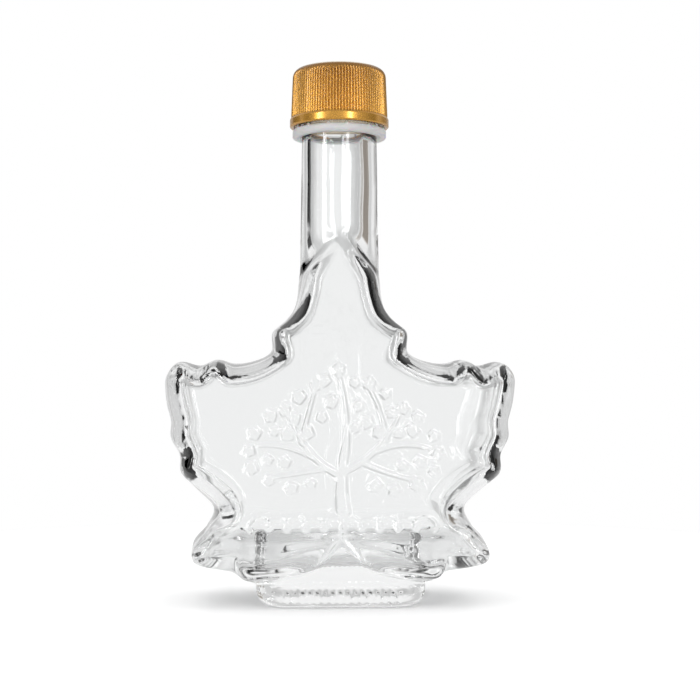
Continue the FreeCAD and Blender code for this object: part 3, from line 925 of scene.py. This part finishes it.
def ring_surface():
    """Closed profile carried round the neck; the top edge rises in a small bump at each stub."""
    low, top, inner, reach = RING_LOW[2], RING_HIGH[2], RING_RADIUS - RING_WALL, NECK_TOP + 0.15
    profile = np.array([
        (reach, low + 0.75, 0), (reach + 0.15, low + 0.1, 0), (inner, low, 0),
        (RING_RADIUS - 0.3, low, 0), (RING_RADIUS, low + 0.3, 0), (RING_RADIUS, low + 1.2, 0),
        (RING_RADIUS - 0.05, top - 0.3, 0), (RING_RADIUS - 0.3, top, 1), (inner + 0.25, top, 1),
        (inner, top - 0.25, 0), (inner, low + 0.9, 0), (reach + 0.1, low + 0.9, 0),
        (reach, low + 0.75, 0)])
    angle = np.linspace(0, 2 * np.pi, RING_COLUMNS, endpoint=False)[None, :]
    away = np.abs((angle[..., None] - STUBS + np.pi) % (2 * np.pi) - np.pi).min(-1)
    stub = STUB_TALL * np.clip(1.6 - away * RING_RADIUS / STUB_HALF, 0, 1)
    points = carried_round(profile[:, :1], profile[:, 1:2] + profile[:, 2:] * stub, angle)
    return points, turned_grid(len(profile), RING_COLUMNS)


ring = mesh_from("tamper_ring", *ring_surface())
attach(ring, "root")
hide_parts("ring")

# %% [markdown]
# ## Writing materials as sums
# A shader is a graph of nodes, and maths in it soon fills the screen. One small class wraps a
# socket, so that an expression such as 1 - mask adds its own Math nodes. Another adds the rest.

# %% Shader helpers
class Value:
    """A socket with arithmetic; every operation adds one Math node."""

    def __init__(self, shader, socket):
        self.shader, self.socket = shader, socket

    def __add__(self, other):
        return self.shader.maths("ADD", self, other)

    def __mul__(self, other):
        return self.shader.maths("MULTIPLY", self, other)

    def __sub__(self, other):
        return self.shader.maths("SUBTRACT", self, other)

    def __rsub__(self, other):
        return self.shader.maths("SUBTRACT", other, self)

    __radd__, __rmul__ = __add__, __mul__


class Shader:
    """The node tree of a material or a world, emptied and ready for nodes."""

    def __init__(self, owner):
        owner.use_nodes = True
        self.owner, self.tree = owner, owner.node_tree
        self.tree.nodes.clear()

    def node(self, kind, settings=None, inputs=None):
        """Add a node: its settings, then values or links for its sockets. Returns its outputs."""
        node = self.tree.nodes.new(kind)
        for key, value in (settings or {}).items():
            setattr(node, key, value)
        for key, value in (inputs or {}).items():
            if isinstance(value, Value):
                self.tree.links.new(value.socket, node.inputs[key])
            else:
                node.inputs[key].default_value = value
        return [Value(self, out) for out in node.outputs]

    def maths(self, operation, *values):
        return self.node("ShaderNodeMath", {"operation": operation}, dict(enumerate(values)))[0]

    def mix(self, share, low, high):
        """The low colour where the share is 0, the high one where it is 1."""
        return self.node("ShaderNodeMix", {"data_type": "RGBA"}, {0: share, 6: low, 7: high})[2]

    def ramp(self, value, edge, low=0.0, high=1.0, curve="LINEAR"):
        """Low up to the edge's first number, high from its second, and a line or curve between."""
        return self.node("ShaderNodeMapRange", {"interpolation_type": curve}, {
            "Value": value, "From Min": edge[0], "From Max": edge[1],
            "To Min": low, "To Max": high})[0]

    def clouds(self, place, scale, detail):
        """Soft noise from 0 to 1."""
        return self.node("ShaderNodeTexNoise", {}, {
            "Vector": place, "Scale": scale, "Detail": detail})[0]

    def bumps(self, height, strength, distance):
        """Normal of a surface with this height on it, in metres."""
        return self.node("ShaderNodeBump", {}, {
            "Strength": strength, "Distance": distance, "Height": height})[0]

    def ray_is(self, *kinds):
        """1 where the ray is one of these kinds, such as Camera or Transmission."""
        path = {out.socket.name: out for out in self.node("ShaderNodeLightPath")}
        flags = [path["Is %s Ray" % kind] for kind in kinds]
        total = flags[0]
        for flag in flags[1:]:
            total = self.maths("MAXIMUM", total, flag)
        return total

    def finish(self, kind, surface):
        """Join the surface to the output node, and say how many nodes it took."""
        self.node(kind, {}, {"Surface": surface})
        print(self.owner.name, len(self.tree.nodes), "nodes")


print("helpers ready:", Value.__name__, "and", Shader.__name__)

# %% [markdown]
# ## Clear glass
# Container glass is colourless with a breath of grey, and it bends light by an index of 1.5. A ray
# that only asks whether the floor is in shadow can't find its way through bent glass. So for shadow
# rays the glass is a veil, nearly black in the solid base and pale above it. That gives the soft
# grey patch that stands in for the bright and dark pattern under a real bottle.

# %% Glass material
BASE_TOP, BASE_FADE = 12.0, 6.0          # height of the solid base, and over what height it ends
THICK_VEIL, THIN_VEIL = (0.03, 0.03, 0.035, 1), (0.84, 0.845, 0.85, 1)


def glass_material():
    """Principled glass with faint waviness, and a veil for shadow rays."""
    material = bpy.data.materials.new("clear container glass")
    shader = Shader(material)
    place = shader.node("ShaderNodeTexCoord")[3]
    normal = shader.bumps(shader.clouds(place, 160.0, 1.0), 0.03, 0.0004)
    body = shader.node("ShaderNodeBsdfPrincipled", {}, {
        "Base Color": (0.965, 0.97, 0.97, 1), "Roughness": 0.0, "IOR": 1.5,
        "Transmission Weight": 1.0, "Normal": normal})[0]
    height = shader.node("ShaderNodeSeparateXYZ", {}, {"Vector": place})[2]
    over_base = shader.ramp(height, (BASE_TOP * MM, (BASE_TOP + BASE_FADE) * MM))
    thick = shader.node("ShaderNodeBsdfTransparent", {}, {"Color": THICK_VEIL})[0]
    thin = shader.node("ShaderNodeBsdfTransparent", {}, {"Color": THIN_VEIL})[0]
    veil = shader.node("ShaderNodeMixShader", {}, {0: over_base, 1: thick, 2: thin})[0]
    is_shadow = shader.ray_is("Shadow")
    shader.finish("ShaderNodeOutputMaterial",
                  shader.node("ShaderNodeMixShader", {}, {0: is_shadow, 1: body, 2: veil})[0])
    return material


glass.data.materials.clear()
glass.data.materials.append(glass_material())

# %% [markdown]
# ## Gold plastic and pale plastic
# The cap's colour is a pearly pigment in the plastic, so it is partly metallic. Painted light lies
# in
# that colour too: a painted highlight, bright gold, along the crests of the ribs, and painted shade,
# brown, in the grooves. That could be painted on by hand, but the distance from the axis already
# says which points lie on the crests and which in the grooves. Inside, the cap is painted paler, as
# painted light on a part that lies in shade. The ring is uncoloured plastic that scatters light
# inside.

# %% Gold plastic
# Painted shade, brown, for the grooves between the ribs, and a painted highlight, bright gold, for
# their crests.
GROOVE_SHADE_GOLD, CREST_HIGHLIGHT_GOLD = (0.26, 0.115, 0.012, 1), (0.59, 0.295, 0.038, 1)
INSIDE_LIGHT_GOLD, INSIDE_RADIUS = (0.86, 0.74, 0.55, 1), 13.75  # painted light: the cap is paler inside this radius, where it lies in shade
SPECK = 0.03                             # share of the fine mottling in the colour


def gold_material():
    """Gold pigment with fine mottling and a satin gloss. Its colour carries painted light: painted
    shade, brown, in the grooves between the ribs, a painted highlight along their crests, and paler
    painted light inside the cap.
    """
    material = bpy.data.materials.new("gold pearl plastic")
    shader = Shader(material)
    place = shader.node("ShaderNodeTexCoord")[3]
    x, y, _ = shader.node("ShaderNodeSeparateXYZ", {}, {"Vector": place})
    outwards = shader.maths("SQRT", x * x + y * y)
    # From painted shade to painted highlight: the share rises with the distance from the axis, from
    # the bottom of a groove to the top of a rib.
    crest_highlight = shader.ramp(outwards, ((GRIP_TOP - RIB_DEPTH) * MM, GRIP_LOW * MM))
    speck = shader.clouds(place, 2600.0, 2.0)
    colour = shader.mix(crest_highlight * (1 - SPECK) + speck * SPECK, GROOVE_SHADE_GOLD, CREST_HIGHLIGHT_GOLD)
    # Painted light: inside this radius the colour is a pale gold, so that the cap's shaded inside,
    # seen through the neck, looks lit.
    inside_light = shader.maths("LESS_THAN", outwards, INSIDE_RADIUS * MM)
    colour = shader.mix(inside_light, colour, INSIDE_LIGHT_GOLD)
    shader.finish("ShaderNodeOutputMaterial", shader.node("ShaderNodeBsdfPrincipled", {}, {
        "Base Color": colour, "Metallic": 0.65, "Roughness": speck * 0.04 + 0.25, "IOR": 1.5,
        "Coat Weight": 0.45, "Coat Roughness": 0.06})[0])
    return material


cap.data.materials.append(gold_material())

# %% Pale plastic
def pale_plastic_material():
    """Milky plastic: light goes into it and comes out again a little way off."""
    material = bpy.data.materials.new("pale translucent plastic")
    shader = Shader(material)
    place = shader.node("ShaderNodeTexCoord")[3]
    cloud = shader.clouds(place, 420.0, 2.0)
    colour = shader.mix(cloud, (0.93, 0.91, 0.91, 1), (0.98, 0.96, 0.96, 1))
    normal = shader.bumps(cloud, 0.1, 0.0001)
    shader.finish("ShaderNodeOutputMaterial", shader.node("ShaderNodeBsdfPrincipled", {}, {
        "Base Color": colour, "Roughness": 0.42, "IOR": 1.45, "Transmission Weight": 0.3,
        "Subsurface Weight": 0.3, "Subsurface Scale": 0.002, "Normal": normal})[0])
    return material


ring.data.materials.append(pale_plastic_material())

# %% [markdown]
# ## Floor, light and camera
# Clear glass has no colour to show: it is drawn by what it bends. A studio sets a white wall behind
# it and leaves the sides dark, which the bevels pick up as thin black lines. The world does the
# same here, with two cards at neck height and two bright soft boxes, and only glass and gloss see
# it. The eye itself sees plain white, and matt surfaces get a soft glow from above.

# %% Floor
TABLE_RADIUS = 260.0
EYE_SHARE, CLEAR_SHARE = 0.06, 0.52      # share of even white for the eye, and for glass and gloss
CLEAR_WHITE = 0.7                        # level of that white for glass


def floor_piece():
    """A round table top: one ring of triangles from the middle to the rim."""
    turn = np.linspace(0, 2 * np.pi, 97)[:-1]
    rim = TABLE_RADIUS * np.stack([np.cos(turn), np.sin(turn), 0 * turn], 1)
    k = np.arange(len(turn))
    fan = np.stack([k, (k + 1) % len(turn), np.full(len(turn), len(turn))], 1)
    return mesh_from("floor", np.vstack([rim, [[0, 0, 0]]]), fan)


def floor_material():
    """White paper for the eye: a matt surface that takes shadows, with a little even white added.
    Glass and gloss see it a shade darker, as they see the wall."""
    material = bpy.data.materials.new("white paper")
    shader = Shader(material)
    paper = shader.node("ShaderNodeBsdfDiffuse", {}, {"Color": (0.98, 0.98, 0.98, 1)})[0]
    is_eye, is_clear = shader.ray_is("Camera"), shader.ray_is("Glossy", "Transmission")
    white = shader.node("ShaderNodeEmission", {}, {
        "Color": (1, 1, 1, 1), "Strength": is_eye * (1 - CLEAR_WHITE) + CLEAR_WHITE})[0]
    shader.finish("ShaderNodeOutputMaterial", shader.node("ShaderNodeMixShader", {}, {
        0: is_eye * EYE_SHARE + is_clear * CLEAR_SHARE, 1: paper, 2: white})[0])
    return material


floor = floor_piece()
floor.data.materials.append(floor_material())

# %% Levels of the studio
WALL, RIM, ROOM_LEVEL = 0.93, 0.10, 0.85 # light from the far wall, the sides, the camera's side
GAP = 0.36                               # share lost in a band between the middle and the sides
GLOSS_WALL = 0.85                        # share of the wall's light that gloss sees
OVERHEAD = 0.7                           # light from straight above, for gloss
GLOW_LOW, GLOW_RISE = 0.15, 1.52         # for matt surfaces: from the horizon, and more from above
BLACK_CARD = (-56, 17, 0.0)              # degrees from straight behind, half width, level left
TAUPE_CARD = (52, 16, 0.30)
TAUPE = (1.0, 0.88, 0.76, 1)
SOFT_BOXES = [(-132, 6.5, 5.5), (157, 5.5, 6.0)]           # degrees, half width, level added
CARD_SOFT, BOX_SOFT = 2, 1.5             # width of their soft edges, in degrees
print("cards", BLACK_CARD, TAUPE_CARD, "soft boxes", SOFT_BOXES)

# %% Edges of the studio
# Each is where a change starts and ends, in the direction's y, which is 1 straight behind the
# bottle, 0 at the sides and -1 on the camera's side, or in its z, which is 1 straight above.
WALL_EDGE = (-0.03, 0.11)
ROOM_EDGE = (-0.13, -0.04)
GAP_OUTER, GAP_INNER = (0.76, 0.88), (0.93, 0.988)
GLOSS_EDGE = (-0.9, 0.1)
OVERHEAD_EDGE = (0.35, 0.9)
CARDS_LOW, CARDS_TOP = (0.082, 0.092), (0.2, 0.26)
BOXES_LOW, BOXES_TOP = (0.02, 0.08), (0.6, 0.75)
BOXES_UNDER = 0.15                       # share of a soft box's light below its lower edge
print("the wall ends", round(math.degrees(math.acos(WALL_EDGE[1]))), "degrees from straight behind")

# %% World
def studio_world():
    """Light by direction. Through glass: the white wall, dimmer in a band beside the middle, dark
    sides, and the room on the camera's side. In gloss: the wall a little dimmer, the room fading
    slowly towards the sides, and light from above. In both, the two cards take light away and the
    soft boxes add it."""
    world = bpy.data.worlds.new("studio")
    bpy.context.scene.world = world
    shader = Shader(world)
    way = shader.node("ShaderNodeTexCoord")[0]
    x, y, z = shader.node("ShaderNodeSeparateXYZ", {}, {"Vector": way})
    azimuth = shader.maths("ARCTAN2", x, y)

    def soft(value, edge, low, high):
        return shader.ramp(value, edge, low, high, "SMOOTHSTEP")

    def strip(degrees, half, edge):
        """1 within half the width of an azimuth, falling to 0 over the soft edge."""
        away = shader.maths("ABSOLUTE", azimuth - math.radians(degrees))
        return soft(away, (math.radians(half - edge), math.radians(half + edge)), 1.0, 0.0)

    is_bent, is_eye = shader.ray_is("Transmission"), shader.ray_is("Camera")
    is_gloss = shader.ray_is("Glossy") * (1 - is_bent)
    is_clear = is_gloss + is_bent
    gap = soft(y, GAP_INNER, 1.0, 0.0) * soft(y, GAP_OUTER, 0.0, 1.0)
    wall = soft(y, WALL_EDGE, RIM, WALL) * (1 - GAP * gap)
    bent = shader.maths("MAXIMUM", wall, soft(y, ROOM_EDGE, ROOM_LEVEL, RIM))
    gloss = shader.maths("MAXIMUM", wall * GLOSS_WALL, soft(y, GLOSS_EDGE, ROOM_LEVEL, RIM))
    gloss = shader.maths("MAXIMUM", gloss, soft(z, OVERHEAD_EDGE, 0.0, OVERHEAD))
    light = is_bent * bent + is_gloss * gloss
    at_neck = soft(z, CARDS_LOW, 0.0, 1.0) * soft(z, CARDS_TOP, 1.0, 0.0)
    for degrees, half, level in (BLACK_CARD, TAUPE_CARD):
        light = light * (1 - strip(degrees, half, CARD_SOFT) * (1 - level) * at_neck)
    at_boxes = soft(z, BOXES_LOW, BOXES_UNDER, 1.0) * soft(z, BOXES_TOP, 1.0, 0.0)
    for degrees, half, level in SOFT_BOXES:
        light = light + is_clear * strip(degrees, half, BOX_SOFT) * at_boxes * level
    glow = GLOW_LOW + GLOW_RISE * shader.maths("MAXIMUM", z, 0.0)
    strength = light + (1 - is_clear) * (is_eye + (1 - is_eye) * glow)
    on_taupe = strip(TAUPE_CARD[0], TAUPE_CARD[1], CARD_SOFT) * at_neck * is_clear
    shader.finish("ShaderNodeOutputWorld", shader.node("ShaderNodeBackground", {}, {
        "Color": shader.mix(on_taupe, (1, 1, 1, 1), TAUPE), "Strength": strength})[0])


studio_world()

# %% Camera
EYE = (-0.018, -0.448, 0.0675)           # metres
SENSOR, LENS = 36.0, 72.0                # millimetres


def look_at(owner, place, target):
    """Turn an object so that its -Z axis points from place to target."""
    owner.location = place
    owner.rotation_euler = (Vector(target) - Vector(place)).to_track_quat("-Z", "Y").to_euler()


camera = bpy.data.objects.new("camera", bpy.data.cameras.new("camera"))
bpy.context.scene.collection.objects.link(camera)
look_at(camera, EYE, (0.0, 0.0, EYE[2]))
camera.data.sensor_width, camera.data.lens = SENSOR, LENS
camera.data.shift_x, camera.data.shift_y = 0.0153, 0.0543
camera.data.clip_start = 0.01
bpy.context.scene.camera = camera
bpy.context.scene.view_settings.view_transform = "Standard"
print("camera", round(math.hypot(*EYE[:2]), 3), "m from the bottle's axis")

# %% Lamps
LAMP_AWAY, LAMP_HEIGHT = 0.9, 0.30       # metres
LAMP_WIDE, LAMP_TALL = 0.09, 0.7
LAMP_TARGET = (0, 0, 0.09)


def lamp(name, azimuth, watts):
    """Upright soft box at an azimuth from the camera's side, in degrees, aimed at the bottle."""
    data = bpy.data.lights.new(name, "AREA")
    data.shape, data.size, data.size_y, data.energy = "RECTANGLE", LAMP_WIDE, LAMP_TALL, watts
    box = bpy.data.objects.new(name, data)
    bpy.context.scene.collection.objects.link(box)
    across, along = math.sin(math.radians(azimuth)), -math.cos(math.radians(azimuth))
    look_at(box, (LAMP_AWAY * across, LAMP_AWAY * along, LAMP_HEIGHT), LAMP_TARGET)
    print(name, watts, "W")


lamp("left soft box", -50, 1.3)
lamp("right soft box", 24, 1.2)
